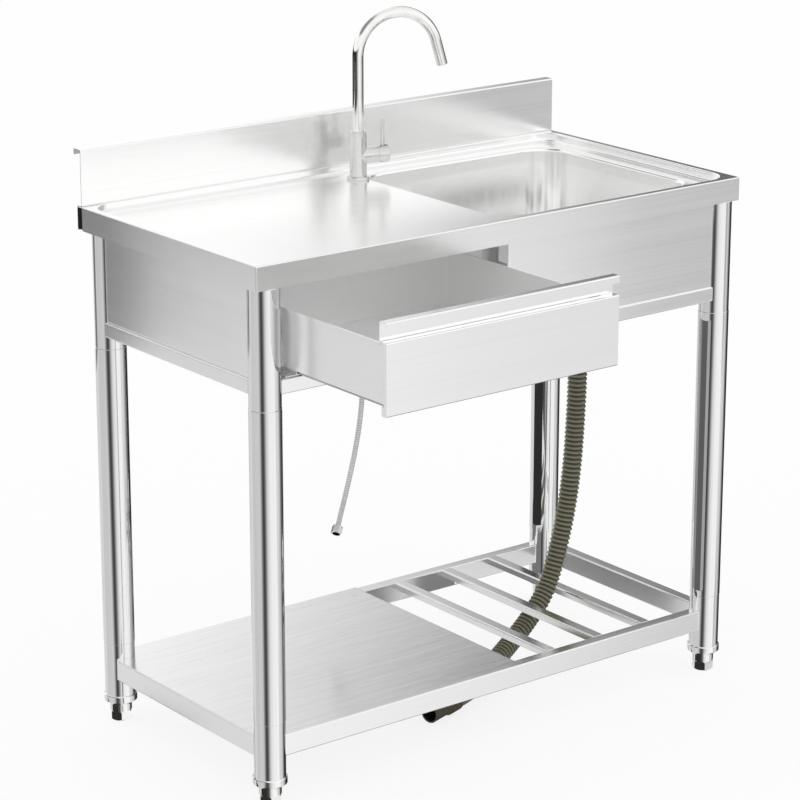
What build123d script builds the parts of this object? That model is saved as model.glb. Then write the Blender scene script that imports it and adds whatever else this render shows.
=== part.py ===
from build123d import *
import math
import os

# Freestanding outdoor sink: a pressed worktop with a bowl, a drawer, a lower shelf and a swivel tap.
# While modelling, X runs from the worktop's left edge, Y from its front edge and Z from the floor.
# All sizes are in millimetres.

# Worktop and backsplash
top_width = 1000
top_depth = 505
deck_height = 891
skirt_height = 40
sheet = 1.2
sheet_bend = 2
rim_width = 14
recess_depth_left = 11
recess_depth_right = 17
recess_corner = 40
recess_upper_bend = 3.5
recess_lower_bend = 6
outer_bend = 2
splash_height = 94.5
splash_return = 14
splash_crest = 20
splash_lip = 10
plug_length = 11
plug_inset = 0.6
plug_reveal = 2

# Bowl
bowl_length = 422
bowl_right_inset = 45
bowl_front_inset = 66
bowl_rear_inset = 53
bowl_corner = 48
bowl_edge_bend = 6
bowl_floor_height = 690
bowl_floor_bend = 25

# Drain
drain_right_inset = 88
drain_front_inset = 189
drain_seat_depth = 3
drain_flange_radius = 45
drain_flange_thickness = 2
drain_neck_radius = 37.8
drain_neck_length = 40
drain_bore_radius = 34.5
drain_ledge_radius = 30.5
drain_ledge_depth = 4
gasket_thickness = 3
drain_nut_radius = 46
drain_nut_height = 11
drain_nut_lugs = 6
drain_nut_lug = 3
trap_wall = 2.5
trap_sleeve = 14
trap_cone_drop = 24
trap_spigot_radius = 16
trap_spigot_length = 34
hose_nut_radius = 25
hose_nut_height = 24
basket_depth = 18
basket_wall = 1
basket_hole_radius = 2.2
basket_holes = 12
basket_ring_radius = 21
knob_radius = 5
knob_height = 14

# Waste hose and the smooth cuff on its free end
hose_radius = 17.5
hose_root_radius = 15.2
hose_bore_radius = 13.6
rib_pitch = 8.6
rib_flank_share = 0.2
rib_crest_share = 0.4
hose_arc_share = 0.45
cuff_length = 76
cuff_collar_length = 30
cuff_collar_radius = 19.3
cuff_spigot_radius = 16.4

# Legs and feet
leg_radius = 26.3
leg_wall = 1.5
leg_edge = 0.8
socket_radius = 25.8
leg_side_inset = 29.7
leg_front_inset = 23.3
leg_rear_inset = 42.5
upper_joint_height = 659
lower_joint_height = 141.5
spigot_length = 40
collar_radius = 28
collar_bottom = 29.5
collar_taper = 6.5
collar_top = 47
collar_edge = 1
collar_sleeve = 24
foot_radius = 18.5
foot_hex_width = 33
foot_hex_height = 17
foot_hex_chamfer = 2.5
foot_stem_length = 51.5

# Apron rails and panels
rail_bottom = 680
rail_height = 25
rail_depth = 15
rail_wall = 1.5
rail_corner = 2.5
front_rail_inset = 6
side_rail_inset = 9
rear_rail_inset = 23
panel_setback = 3
panel_overlap = 15
panel_flange = 6
front_panel_left = 499
front_panel_return = 24

# Shelf
shelf_height = 115.5
shelf_rail_height = 36.8
shelf_rail_width = 22
shelf_side_inset = 12
shelf_front_inset = 11.5
shelf_rear_inset = 29
shelf_plate_right = 541
shelf_plate_fold = 12
shelf_slot_length = 8
shelf_slot_width = 2.4
shelf_slot_side = 29
shelf_slot_end = 34
slat_width = 22
slat_height = 12
slat_first = 612
slat_step = 108
slat_count = 3

# Drawer, modelled as far out as it is shown
drawer_pull = 232
drawer_shut_gap = 10
drawer_front_left = 61
drawer_front_width = 453.5
drawer_front_bottom = 701
drawer_sill_height = 815
drawer_grip_top = 846
drawer_grip_lip = 11.5
drawer_grip_depth = 16
drawer_base_fold = 12
drawer_base_lip = 15
drawer_end_flange = 7
drawer_box_width = 431
drawer_box_length = 400
drawer_box_bottom = 720
drawer_box_corner = 3
drawer_hem = 6
slider_inset = 26
slider_length = 370
runner_width = 19
runner_height = 12
runner_wall = 1.5
runner_setback = 3
runner_foot_width = 60
stud_radius = 2.5
stud_nut_radius = 5
stud_nut_height = 5
stud_side_inset = 70
stud_end_inset = 22

# Tap
tap_from_bowl = 15
tap_from_splash = 57.6
tap_heading = -16.2
tap_flange_radius = 19.3
tap_flange_height = 5.5
tap_flange_bend = 2
tap_body_radius = 14.5
tap_body_height = 77
tap_side_height = 35
tap_side_radius = 14.8
tap_side_length = 33.7
tap_edge_bend = 1
tap_cap_length = 19.6
tap_cap_wall = 3
tap_cap_back = 1.5
tap_spindle_radius = 5
tap_spindle_length = 12
lever_radius = 3.5
lever_reach = 44
lever_length = 60.5
lever_ball_radius = 4.5
lever_trunnion_radius = 1.8
lever_tilt = 15
lever_slot_gap = 0.6
spout_radius = 10
spout_wall = 1.5
spout_insert = 26
spout_rise = 128
spout_bend = 72.3
spout_turn = 164.6
spout_tail = 44
aerator_depth = 8
aerator_hole_radius = 1.2
aerator_ring_radius = 4.5
aerator_holes = 8
shank_radius = 10
shank_bore = 6
shank_length = 62
shank_hole_gap = 1
tap_washer_radius = 15
tap_washer_height = 2.5
tap_nut_width = 27
tap_nut_height = 8

# Supply hose
supply_radius = 4.5
ferrule_radius = 6.5
ferrule_length = 18
supply_nut_width = 17
supply_nut_length = 14
supply_nut_bore = 6.8
supply_nut_back = 3

# Clearances
seat_gap = 0.1
weld_gap = 0.2
slide_gap = 0.3
running_gap = 0.05

# Levels and places that follow from the sizes above
skirt_bottom = deck_height - skirt_height
splash_face = top_depth - splash_return
splash_rear = splash_face + splash_crest
rail_top = rail_bottom + rail_height
panel_top = skirt_bottom + panel_overlap
shelf_rail_top = shelf_height - sheet
shelf_rail_bottom = shelf_rail_top - shelf_rail_height
shelf_rear = top_depth - shelf_rear_inset
bowl_right = top_width - bowl_right_inset
bowl_left = bowl_right - bowl_length
bowl_width = top_depth - bowl_front_inset - bowl_rear_inset
bowl_x = bowl_right - bowl_length / 2
bowl_y = bowl_front_inset + bowl_width / 2
drain_x = bowl_right - drain_right_inset
drain_y = bowl_front_inset + drain_front_inset
drain_seat_z = bowl_floor_height - drain_seat_depth
drain_ledge_z = drain_seat_z + drain_flange_thickness - drain_ledge_depth
drain_neck_bottom = drain_seat_z - drain_neck_length
drain_under = drain_seat_z - sheet
trap_cone_bottom = drain_neck_bottom - trap_wall - trap_cone_drop
hose_top = trap_cone_bottom - trap_spigot_length
leg_places = {
    "fl": (leg_side_inset, leg_front_inset),
    "fr": (top_width - leg_side_inset, leg_front_inset),
    "rl": (leg_side_inset, top_depth - leg_rear_inset),
    "rr": (top_width - leg_side_inset, top_depth - leg_rear_inset),
}
left_leg_x, front_leg_y = leg_places["fl"]
right_leg_x, rear_leg_y = leg_places["rr"]
spigot_radius = leg_radius - leg_wall - seat_gap
spigot_bore = spigot_radius - leg_wall
neck_radius = leg_front_inset - sheet - slide_gap
front_panel_y = front_rail_inset + panel_setback
rear_panel_y = top_depth - rear_rail_inset - panel_setback
drawer_face = -drawer_shut_gap - drawer_pull
drawer_box_front = drawer_face + sheet + seat_gap
drawer_box_left = drawer_front_left + sheet + slide_gap
drawer_box_right = drawer_box_left + drawer_box_width
drawer_box_top = drawer_sill_height - sheet - slide_gap
slider_places = {
    "left": drawer_box_left + slider_inset,
    "right": drawer_box_right - slider_inset,
}
tap_x = bowl_left - tap_from_bowl
tap_y = splash_face - tap_from_splash


def deck_z(x):
    """Height of the sloping deck's upper face at x."""
    fall = (recess_depth_right - recess_depth_left) * x / top_width
    return deck_height - recess_depth_left - fall


tap_base = deck_z(tap_x - tap_flange_radius) + seat_gap
tap_body_base = tap_base + tap_flange_height
tap_body_top = tap_body_base + tap_body_height
tap_side_z = tap_body_base + tap_side_height
tap_deck_under = deck_z(tap_x + tap_washer_radius) - sheet - seat_gap
shank_bottom = tap_body_base - shank_length
supply_top = shank_bottom - ferrule_length
tap_place = Pos(tap_x, tap_y, 0) * Rot(0, 0, tap_heading)

# Routes of the two hoses, chosen by hand, from the fitting to the free end
drain_route = [
    (drain_x, drain_y, hose_top),
    (drain_x, drain_y, 512),
    (864, 255, 430),
    (858, 255, 340),
    (846, 255, 260),
    (826, 253.5, 188),
    (797, 248, 121),
    (743, 235, 77),
    (668, 211, 46),
    (594, 177, 30),
    (548, 153, 22),
    (500, 139, 20.5),
]
supply_route = [
    (tap_x, tap_y, supply_top),
    (tap_x, tap_y, 715),
    (525, 433.4, 617),
    (527, 433.4, 522),
    (520.5, 433.4, 448),
    (509, 433.4, 392),
    (496, 431.5, 350),
    (480, 425, 315),
    (463, 415, 290),
    (446.5, 402.5, 271),
]


def block(x0, x1, y0, y1, z0, z1):
    """Box between two corners."""
    return Pos((x0 + x1) / 2, (y0 + y1) / 2, (z0 + z1) / 2) * Box(x1 - x0, y1 - y0, z1 - z0)


def rod(x, y, z0, z1, radius):
    """Upright cylinder between two levels."""
    return Pos(x, y, z0) * Cylinder(radius, z1 - z0, align=(Align.CENTER, Align.CENTER, Align.MIN))


def pipe(x, y, z0, z1, outer, inner):
    """Upright tube between two levels."""
    return rod(x, y, z0, z1, outer) - rod(x, y, z0, z1, inner)


def bar_along_x(x0, x1, z, radius):
    """Cylinder along X at height z, on the tap's own axes."""
    return Pos(x0, 0, z) * Rot(0, 90, 0) * Cylinder(
        radius, x1 - x0, align=(Align.CENTER, Align.CENTER, Align.MIN))


def turned(points):
    """Solid turned about the upright axis from (radius, height) points."""
    return revolve(make_face(Plane.XZ * Polyline(*points, close=True)), Axis.Z)


def hexagon(width, z0, z1):
    """Upright hexagonal prism with the given width across flats."""
    return extrude(Pos(0, 0, z0) * RegularPolygon(width / math.sqrt(3), 6), z1 - z0)


def left_of(points, distance):
    """The same line of points, moved to its left."""
    headings = [(Vector(end) - Vector(start)).normalized() for start, end in zip(points, points[1:])]
    normals = [Vector(-heading.Y, heading.X) for heading in headings]
    moved = [Vector(points[0]) + normals[0] * distance]
    for point, before, after in zip(points[1:-1], normals, normals[1:]):
        moved.append(Vector(point) + (before + after) * (distance / (1 + before.dot(after))))
    return moved + [Vector(points[-1]) + normals[-1] * distance]


def folded(points, plane, length, thickness=sheet):
    """Sheet folded along points, thickened to their left and drawn out along the plane's normal."""
    line = FilletPolyline(*left_of(points, thickness / 2), radius=sheet_bend)
    return extrude(plane * trace(line, thickness), length, dir=plane.z_dir)


def across(x):
    """Plane with local axes Y and Z, facing right."""
    return Plane.YZ.offset(x)


def along(y):
    """Plane with local axes X and Z, facing the front."""
    return Plane.XZ.offset(-y)


def rounded_prism(length, width, corner, x, y, z0, z1):
    """Upright prism on a rectangle with round corners."""
    return extrude(Pos(x, y, z0) * RectangleRounded(length, width, corner), z1 - z0)


def box_tube(plane, width, height, length):
    """Rectangular tube drawn out along the plane's normal."""
    inner = 2 * rail_wall
    section = RectangleRounded(width, height, rail_corner)
    section -= RectangleRounded(width - inner, height - inner, rail_corner - rail_wall)
    return extrude(plane * section, length, dir=plane.z_dir)


def tube_along_x(x0, x1, y0, z0, width, height):
    plane = Plane((x0, y0 + width / 2, z0 + height / 2), x_dir=(0, 1, 0), z_dir=(1, 0, 0))
    return box_tube(plane, width, height, x1 - x0)


def tube_along_y(y0, y1, x0, z0, width, height):
    plane = Plane((x0 + width / 2, y0, z0 + height / 2), x_dir=(-1, 0, 0), z_dir=(0, 1, 0))
    return box_tube(plane, width, height, y1 - y0)


def clear_of_legs(shape):
    """Cope a piece to the leg sockets."""
    for x, y in leg_places.values():
        shape -= rod(x, y, 0, deck_height, socket_radius + weld_gap)
    return shape


def mirrored(shape):
    """The same piece on the other side of the worktop's middle."""
    return mirror(shape, Plane.YZ.offset(top_width / 2))


# Worktop: a block with the pressed recess and the bowl opening, shelled from below
def make_worktop():
    over = deck_height + rim_width
    body = block(0, top_width, 0, top_depth, skirt_bottom, deck_height)
    sharp_rear = body.edges().filter_by(Axis.X).group_by(Axis.Z)[-1].sort_by(Axis.Y)[-1]
    top_edges = body.edges().group_by(Axis.Z)[-1] - ShapeList([sharp_rear])
    front_corners = body.edges().filter_by(Axis.Z).group_by(Axis.Y)[0]
    body = fillet(top_edges + front_corners, outer_bend)

    recess_width = splash_face - rim_width
    recess = rounded_prism(top_width - 2 * rim_width, recess_width, recess_corner,
                           top_width / 2, rim_width + recess_width / 2, skirt_bottom, over)
    above_deck = Polyline((0, deck_z(0)), (top_width, deck_z(top_width)),
                          (top_width, over), (0, over), close=True)
    recess &= extrude(along(0) * make_face(above_deck), -top_depth)
    recess = fillet(recess.faces().sort_by(Axis.Z)[0].edges(), recess_lower_bend)
    body -= recess
    rim_edges = body.edges().filter_by_position(Axis.Z, deck_height - seat_gap, over)
    rim_edges = rim_edges.filter_by_position(Axis.X, outer_bend + 1, top_width - outer_bend - 1)
    rim_edges = rim_edges.filter_by_position(Axis.Y, outer_bend + 1, splash_face - 1)
    body = fillet(rim_edges, recess_upper_bend)

    opening = rounded_prism(bowl_length, bowl_width, bowl_corner, bowl_x, bowl_y, skirt_bottom, over)
    body -= opening
    deck = [face for face in body.faces() if face.inner_wires() and face.center().Z > skirt_bottom + 1]
    deck_face = min(deck, key=lambda face: face.center().Z)
    body = fillet(deck_face.inner_wires()[0].edges(), bowl_edge_bend)
    top = offset(body, amount=-sheet, openings=body.faces().sort_by(Axis.Z)[0])

    top -= rod(tap_x, tap_y, skirt_bottom, over, shank_radius + shank_hole_gap)
    end_slot = block(0, outer_bend, splash_face, top_depth - sheet,
                     skirt_bottom, deck_height - outer_bend)
    return top - end_slot - mirrored(end_slot)


def make_backsplash():
    crest = deck_height + splash_height
    points = [
        (splash_rear, crest - splash_lip), (splash_rear, crest), (splash_face, crest),
        (splash_face, deck_height), (top_depth, deck_height),
    ]
    return folded(points, across(0), top_width)


# Plastic plugs that close the skirt's open rear corners
def make_end_plugs():
    plug = block(plug_inset, plug_inset + plug_length,
                 splash_face + weld_gap, top_depth - sheet - seat_gap,
                 skirt_bottom + plug_reveal, deck_height - outer_bend - seat_gap)
    return Compound([plug, mirrored(plug)])


# Bowl: hangs from the turned-down edge of the worktop's opening
def make_bowl():
    wall = 2 * sheet
    shell = rounded_prism(bowl_length + wall, bowl_width + wall, bowl_corner + sheet,
                          bowl_x, bowl_y, bowl_floor_height - sheet, skirt_bottom)
    shell = fillet(shell.faces().sort_by(Axis.Z)[0].edges(), bowl_floor_bend + sheet)
    hollow = rounded_prism(bowl_length, bowl_width, bowl_corner,
                           bowl_x, bowl_y, bowl_floor_height, deck_height)
    hollow = fillet(hollow.faces().sort_by(Axis.Z)[0].edges(), bowl_floor_bend)
    seat_radius = drain_flange_radius + seat_gap
    shell += rod(drain_x, drain_y, drain_under, bowl_floor_height, seat_radius + sheet)
    shell -= hollow
    shell -= rod(drain_x, drain_y, drain_seat_z, bowl_floor_height, seat_radius)
    return shell - rod(drain_x, drain_y, drain_under, drain_seat_z, drain_neck_radius + weld_gap)


# Drain fittings, turned about the drain's axis
def at_drain(shape):
    return Pos(drain_x, drain_y, 0) * shape


def make_drain_flange():
    top = drain_seat_z + drain_flange_thickness
    return at_drain(turned([
        (drain_bore_radius, top), (drain_flange_radius - drain_flange_thickness, top),
        (drain_flange_radius, drain_seat_z), (drain_neck_radius, drain_seat_z),
        (drain_neck_radius, drain_neck_bottom), (drain_ledge_radius, drain_neck_bottom),
        (drain_ledge_radius, drain_ledge_z), (drain_bore_radius, drain_ledge_z),
    ]))


def make_drain_gasket():
    return pipe(drain_x, drain_y, drain_under - gasket_thickness, drain_under,
                drain_flange_radius, drain_neck_radius + weld_gap)


def make_drain_locknut():
    top = drain_under - gasket_thickness
    nut = rod(0, 0, top - drain_nut_height, top, drain_nut_radius)
    lug = block(-drain_nut_lug, drain_nut_lug, 0, drain_nut_radius + drain_nut_lug,
                top - drain_nut_height, top)
    for turn in range(drain_nut_lugs):
        nut += Rot(0, 0, 360 / drain_nut_lugs * turn) * lug
    nut -= rod(0, 0, top - drain_nut_height, top, drain_neck_radius + weld_gap)
    return at_drain(nut)


def make_drain_tailpiece():
    sleeve = drain_neck_radius + weld_gap
    floor = drain_neck_bottom - seat_gap
    bore = trap_spigot_radius - trap_wall
    return at_drain(turned([
        (sleeve, floor + trap_sleeve), (sleeve + trap_wall, floor + trap_sleeve),
        (sleeve + trap_wall, drain_neck_bottom - trap_wall),
        (trap_spigot_radius, trap_cone_bottom), (trap_spigot_radius, hose_top), (bore, hose_top),
        (bore, trap_cone_bottom + trap_wall), (drain_ledge_radius, floor), (sleeve, floor),
    ]))


def make_drain_hose_nut():
    nut = pipe(drain_x, drain_y, hose_top, hose_top + hose_nut_height,
               hose_nut_radius, trap_spigot_radius + seat_gap)
    return chamfer(nut.edges().group_by(Axis.Z)[-1].sort_by(SortBy.LENGTH)[-1], trap_wall)


# Basket: lifts out of the drain by its knob
def make_strainer_basket():
    rim_z = drain_ledge_z + slide_gap
    outer = drain_ledge_radius - slide_gap
    floor = rim_z - basket_depth
    basket = turned([
        (drain_bore_radius - slide_gap, rim_z), (drain_bore_radius - slide_gap, rim_z + basket_wall),
        (outer - basket_wall, rim_z + basket_wall), (outer - basket_wall, floor + basket_wall),
        (knob_radius - basket_wall, floor + basket_wall), (knob_radius - basket_wall, floor + knob_height),
        (knob_radius, floor + knob_height + basket_wall), (0, floor + knob_height + 2 * basket_wall),
        (0, floor), (outer, floor), (outer, rim_z),
    ])
    for turn in range(basket_holes):
        heading = Rot(0, 0, 360 / basket_holes * turn)
        basket -= heading * rod(basket_ring_radius, 0, floor, floor + basket_wall, basket_hole_radius)
    return at_drain(basket)


# Hoses: straight runs joined by arcs as large as the runs allow
def corner_radii(route):
    radii = []
    for before, corner, after in zip(route, route[1:], route[2:]):
        run_in = Vector(corner) - Vector(before)
        run_out = Vector(after) - Vector(corner)
        shorter = min(run_in.length, run_out.length)
        half_turn = math.radians(run_in.get_angle(run_out)) / 2
        radii.append(hose_arc_share * shorter / math.tan(half_turn))
    return radii


def hose_path(name, route):
    radii = corner_radii(route)
    path = FilletPolyline(*route, radius=radii)
    print(name, "length", round(path.length), "radii", [round(radius) for radius in radii])
    return path


def hose_section(path, place, radius):
    """Circle across the path, with its X axis held square to the cabinet's depth."""
    centre = path.position_at(place, position_mode=PositionMode.LENGTH)
    heading = path.tangent_at(place, position_mode=PositionMode.LENGTH)
    return Plane(centre, x_dir=Vector(0, 1, 0).cross(heading), z_dir=heading) * Circle(radius)


def make_drain_hose():
    path = hose_path("drain_hose", drain_route)
    ribs = round(path.length / rib_pitch)
    pitch = path.length / ribs
    crest_end = rib_flank_share + rib_crest_share
    rib = [(0, hose_root_radius), (rib_flank_share, hose_radius),
           (crest_end, hose_radius), (crest_end + rib_flank_share, hose_root_radius)]
    sections = [hose_section(path, (count + share) * pitch, radius)
                for count in range(ribs) for share, radius in rib]
    sections.append(hose_section(path, path.length, hose_root_radius))
    bore = sweep(hose_section(path, 0, hose_bore_radius), path)
    print("drain_hose ribs", ribs)
    return loft(sections, ruled=True) - bore


def make_drain_cuff():
    end = Vector(drain_route[-1])
    heading = end - Vector(drain_route[-2])
    cuff = turned([
        (hose_bore_radius, 0), (cuff_collar_radius - trap_wall, 0), (cuff_collar_radius, trap_wall),
        (cuff_collar_radius, cuff_collar_length), (cuff_spigot_radius, cuff_collar_length + trap_wall),
        (cuff_spigot_radius, cuff_length), (hose_bore_radius, cuff_length),
    ])
    return Plane(end, z_dir=heading) * cuff


def make_supply_hose():
    path = hose_path("supply_hose", supply_route)
    return sweep(hose_section(path, 0, supply_radius), path)


def make_supply_nut():
    end = Vector(supply_route[-1])
    heading = end - Vector(supply_route[-2])
    nut = hexagon(supply_nut_width, 0, supply_nut_length)
    nut -= rod(0, 0, supply_nut_back, supply_nut_length, supply_nut_bore)
    return Plane(end, z_dir=heading) * nut


# Legs: a long tube between an upper and a lower socket, each with a spigot inside the tube
def make_leg_tube(x, y):
    bore = leg_radius - leg_wall
    low = lower_joint_height
    high = upper_joint_height
    return Pos(x, y, 0) * turned([
        (bore, low), (leg_radius - leg_edge, low), (leg_radius, low + leg_edge),
        (leg_radius, high - leg_edge), (leg_radius - leg_edge, high), (bore, high),
    ])


def make_upper_sockets():
    sockets = []
    low = upper_joint_height - spigot_length
    shoulder = skirt_bottom - seat_gap
    closed = shoulder - 2 * leg_wall
    for x, y in leg_places.values():
        top = deck_z(x + neck_radius) - sheet - seat_gap
        sockets.append(Pos(x, y, 0) * turned([
            (spigot_bore, low), (spigot_radius, low), (spigot_radius, upper_joint_height),
            (socket_radius, upper_joint_height), (socket_radius, shoulder), (neck_radius, shoulder),
            (neck_radius, top), (neck_radius - leg_wall, top), (neck_radius - leg_wall, closed),
            (spigot_bore, closed),
        ]))
    return Compound(sockets)


def make_lower_sockets():
    high = lower_joint_height + spigot_length
    socket = turned([
        (spigot_bore, collar_top), (socket_radius, collar_top), (socket_radius, lower_joint_height),
        (spigot_radius, lower_joint_height), (spigot_radius, high), (spigot_bore, high),
    ])
    return Compound([Pos(x, y, 0) * socket for x, y in leg_places.values()])


# Collar: carries the socket on its shoulder and guides the foot in its bore
def make_foot_collars():
    bore = foot_radius + running_gap
    sleeve = spigot_bore - seat_gap
    collar = turned([
        (bore, collar_bottom), (bore + collar_edge, collar_bottom),
        (collar_radius, collar_bottom + collar_taper), (collar_radius, collar_top - collar_edge),
        (collar_radius - collar_edge, collar_top), (sleeve, collar_top),
        (sleeve, collar_top + collar_sleeve), (bore, collar_top + collar_sleeve),
    ])
    return Compound([Pos(x, y, 0) * collar for x, y in leg_places.values()])


def make_foot(x, y):
    corner = foot_hex_width / math.sqrt(3)
    hexagon_top = foot_hex_height
    waist = turned([
        (0, 0), (corner - foot_hex_chamfer, 0), (corner, foot_hex_chamfer),
        (corner, hexagon_top - foot_hex_chamfer), (foot_hex_width / 2, hexagon_top), (0, hexagon_top),
    ])
    foot = hexagon(foot_hex_width, 0, hexagon_top) & waist
    foot += rod(0, 0, hexagon_top, collar_bottom + foot_stem_length, foot_radius)
    return Pos(x, y, 0) * foot


# Apron rails and sheet panels between the upper sockets
def make_side_rail():
    return clear_of_legs(tube_along_y(front_leg_y, rear_leg_y, side_rail_inset, rail_bottom,
                                      rail_depth, rail_height))


def make_cross_rail(y0):
    return clear_of_legs(tube_along_x(left_leg_x, right_leg_x, y0, rail_bottom, rail_depth, rail_height))


def make_side_panel():
    x = side_rail_inset + panel_setback
    points = [(x, panel_top), (x, rail_top), (x + panel_flange, rail_top)]
    return clear_of_legs(folded(points, along(rear_leg_y), rear_leg_y - front_leg_y))


def make_rear_panel():
    y = rear_panel_y
    points = [(y - panel_flange, rail_top), (y, rail_top), (y, panel_top)]
    return clear_of_legs(folded(points, across(left_leg_x), right_leg_x - left_leg_x))


def make_front_panel():
    points = [
        (front_panel_left, front_panel_y + front_panel_return), (front_panel_left, front_panel_y),
        (right_leg_x, front_panel_y),
    ]
    return clear_of_legs(folded(points, Plane.XY.offset(rail_top), panel_top - rail_top))


# Shelf: four rails, a sheet over the left half and slats across the right half
def make_shelf_side_rail():
    return clear_of_legs(tube_along_y(front_leg_y, rear_leg_y, shelf_side_inset, shelf_rail_bottom,
                                      shelf_rail_width, shelf_rail_height))


def make_shelf_cross_rail(y0):
    return clear_of_legs(tube_along_x(left_leg_x, right_leg_x, y0, shelf_rail_bottom,
                                      shelf_rail_width, shelf_rail_height))


def make_shelf_plate():
    right = shelf_plate_right
    points = [(right, shelf_height - shelf_plate_fold), (right, shelf_height),
              (shelf_side_inset, shelf_height)]
    plate = folded(points, along(shelf_rear), shelf_rear - shelf_front_inset)
    slot_x = right - shelf_slot_side
    for rail_y, slot_y in (
        (shelf_front_inset, shelf_front_inset + shelf_slot_end),
        (shelf_rear - shelf_rail_width, shelf_rear - shelf_slot_end),
    ):
        plate -= block(0, top_width, rail_y - weld_gap, rail_y + shelf_rail_width + weld_gap,
                       0, shelf_rail_top)
        slot = SlotOverall(shelf_slot_length, shelf_slot_width)
        plate -= extrude(Pos(slot_x, slot_y, shelf_rail_top) * slot, sheet)
    return clear_of_legs(plate)


def make_shelf_slat(number):
    left = slat_first + slat_step * number
    right = left + slat_width
    low = shelf_rail_top - slat_height
    front = shelf_front_inset + shelf_rail_width + weld_gap
    rear = shelf_rear - shelf_rail_width - weld_gap
    points = [(right, low), (right, shelf_rail_top), (left, shelf_rail_top), (left, low)]
    return folded(points, along(rear), rear - front)


# Drawer: a box with hemmed edges, a folded front with a finger grip, and sliders in fixed runners
def make_drawer_front():
    face = drawer_face
    grip = face + drawer_grip_depth
    top = drawer_grip_top - sheet
    base = face + drawer_base_fold
    points = [
        (face + sheet, drawer_grip_top - drawer_grip_lip), (face + sheet, top), (grip, top),
        (grip, drawer_sill_height), (face, drawer_sill_height), (face, drawer_front_bottom),
        (base, drawer_front_bottom), (base, drawer_front_bottom + drawer_base_lip),
    ]
    front = folded(points, across(drawer_front_left), drawer_front_width)
    right = drawer_front_left + drawer_front_width
    for x in (drawer_front_left, right - sheet):
        front += block(x, x + sheet, face + sheet / 2, face + drawer_end_flange,
                       drawer_front_bottom + sheet / 2, drawer_sill_height - sheet)
        front += block(x, x + sheet, face + sheet / 2, base - sheet / 2,
                       drawer_front_bottom + sheet / 2, drawer_front_bottom + drawer_base_lip)
    return front


def make_drawer_box():
    middle_x = drawer_box_left + drawer_box_width / 2
    middle_y = drawer_box_front + drawer_box_length / 2
    box = rounded_prism(drawer_box_width, drawer_box_length, drawer_box_corner,
                        middle_x, middle_y, drawer_box_bottom, drawer_box_top)
    hem = rounded_prism(drawer_box_width + 2 * sheet, drawer_box_length + 2 * sheet,
                        drawer_box_corner + sheet, middle_x, middle_y,
                        drawer_box_top - drawer_hem, drawer_box_top)
    hem_start = drawer_face + drawer_grip_depth
    hem -= block(0, top_width, drawer_face, hem_start, drawer_box_bottom, drawer_box_top)
    hollow = rounded_prism(drawer_box_width - 2 * sheet, drawer_box_length - 2 * sheet,
                           drawer_box_corner - sheet, middle_x, middle_y,
                           drawer_box_bottom + sheet, drawer_box_top)
    box = box + hem - hollow
    box -= block(0, top_width, drawer_face, drawer_face + sheet + 2 * sheet_bend,
                 drawer_box_top - sheet_bend, drawer_box_top)
    for x, z in stud_places():
        box -= along(drawer_box_front + sheet) * Pos(x, z, 0) * Cylinder(
            stud_radius + seat_gap, 4 * sheet)
    return box


def stud_places():
    return [(x, z)
            for x in (drawer_box_left + stud_side_inset, drawer_box_right - stud_side_inset)
            for z in (drawer_box_bottom + stud_end_inset, drawer_box_top - stud_end_inset)]


# Studs on the back of the front, each with a domed nut inside the box
def make_drawer_studs():
    start = sheet
    wall = drawer_box_front + sheet - drawer_face
    stud = turned([
        (0, start), (stud_radius, start), (stud_radius, wall), (stud_nut_radius, wall),
        (stud_nut_radius, wall + stud_nut_height / 2), (stud_radius, wall + stud_nut_height),
        (0, wall + stud_nut_height),
    ])
    return Compound([Pos(x, drawer_face, z) * Rot(-90, 0, 0) * stud for x, z in stud_places()])


def make_drawer_slider(x):
    half = runner_width / 2 - runner_wall - sheet_bend
    low = rail_top + runner_wall + slide_gap
    points = [(x + half, low), (x + half, drawer_box_bottom),
              (x - half, drawer_box_bottom), (x - half, low)]
    rear = drawer_box_front + drawer_box_length - drawer_box_corner
    return folded(points, along(rear), slider_length)


def make_drawer_runner(x):
    half = runner_width / 2
    top = rail_top + runner_height
    points = [(x - half, top), (x - half, rail_top), (x + half, rail_top), (x + half, top)]
    front = front_rail_inset + runner_setback
    rear = rear_panel_y - panel_flange - weld_gap
    channel = folded(points, along(rear), rear - front, thickness=runner_wall)
    foot = runner_foot_width / 2
    return channel + block(x - foot, x + foot, front, rear, rail_top, rail_top + runner_wall)


# Tap: built with its spout along X, then turned to its heading
def make_tap_flange():
    flange = rod(0, 0, tap_base, tap_body_base, tap_flange_radius)
    flange = fillet(flange.edges().group_by(Axis.Z)[-1], tap_flange_bend)
    return tap_place * (flange - rod(0, 0, tap_base, tap_body_base, shank_radius + seat_gap))


def make_tap_body():
    body = rod(0, 0, tap_body_base, tap_body_top, tap_body_radius)
    body = fillet(body.edges().group_by(Axis.Z)[-1], tap_edge_bend)
    body += bar_along_x(0, tap_side_length, tap_side_z, tap_side_radius)
    body -= rod(0, 0, tap_body_top - spout_insert - slide_gap, tap_body_top, spout_radius + running_gap)
    body -= bar_along_x(tap_side_length - tap_spindle_length - slide_gap, tap_side_length, tap_side_z,
                        tap_spindle_radius + running_gap)
    return tap_place * body


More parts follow.
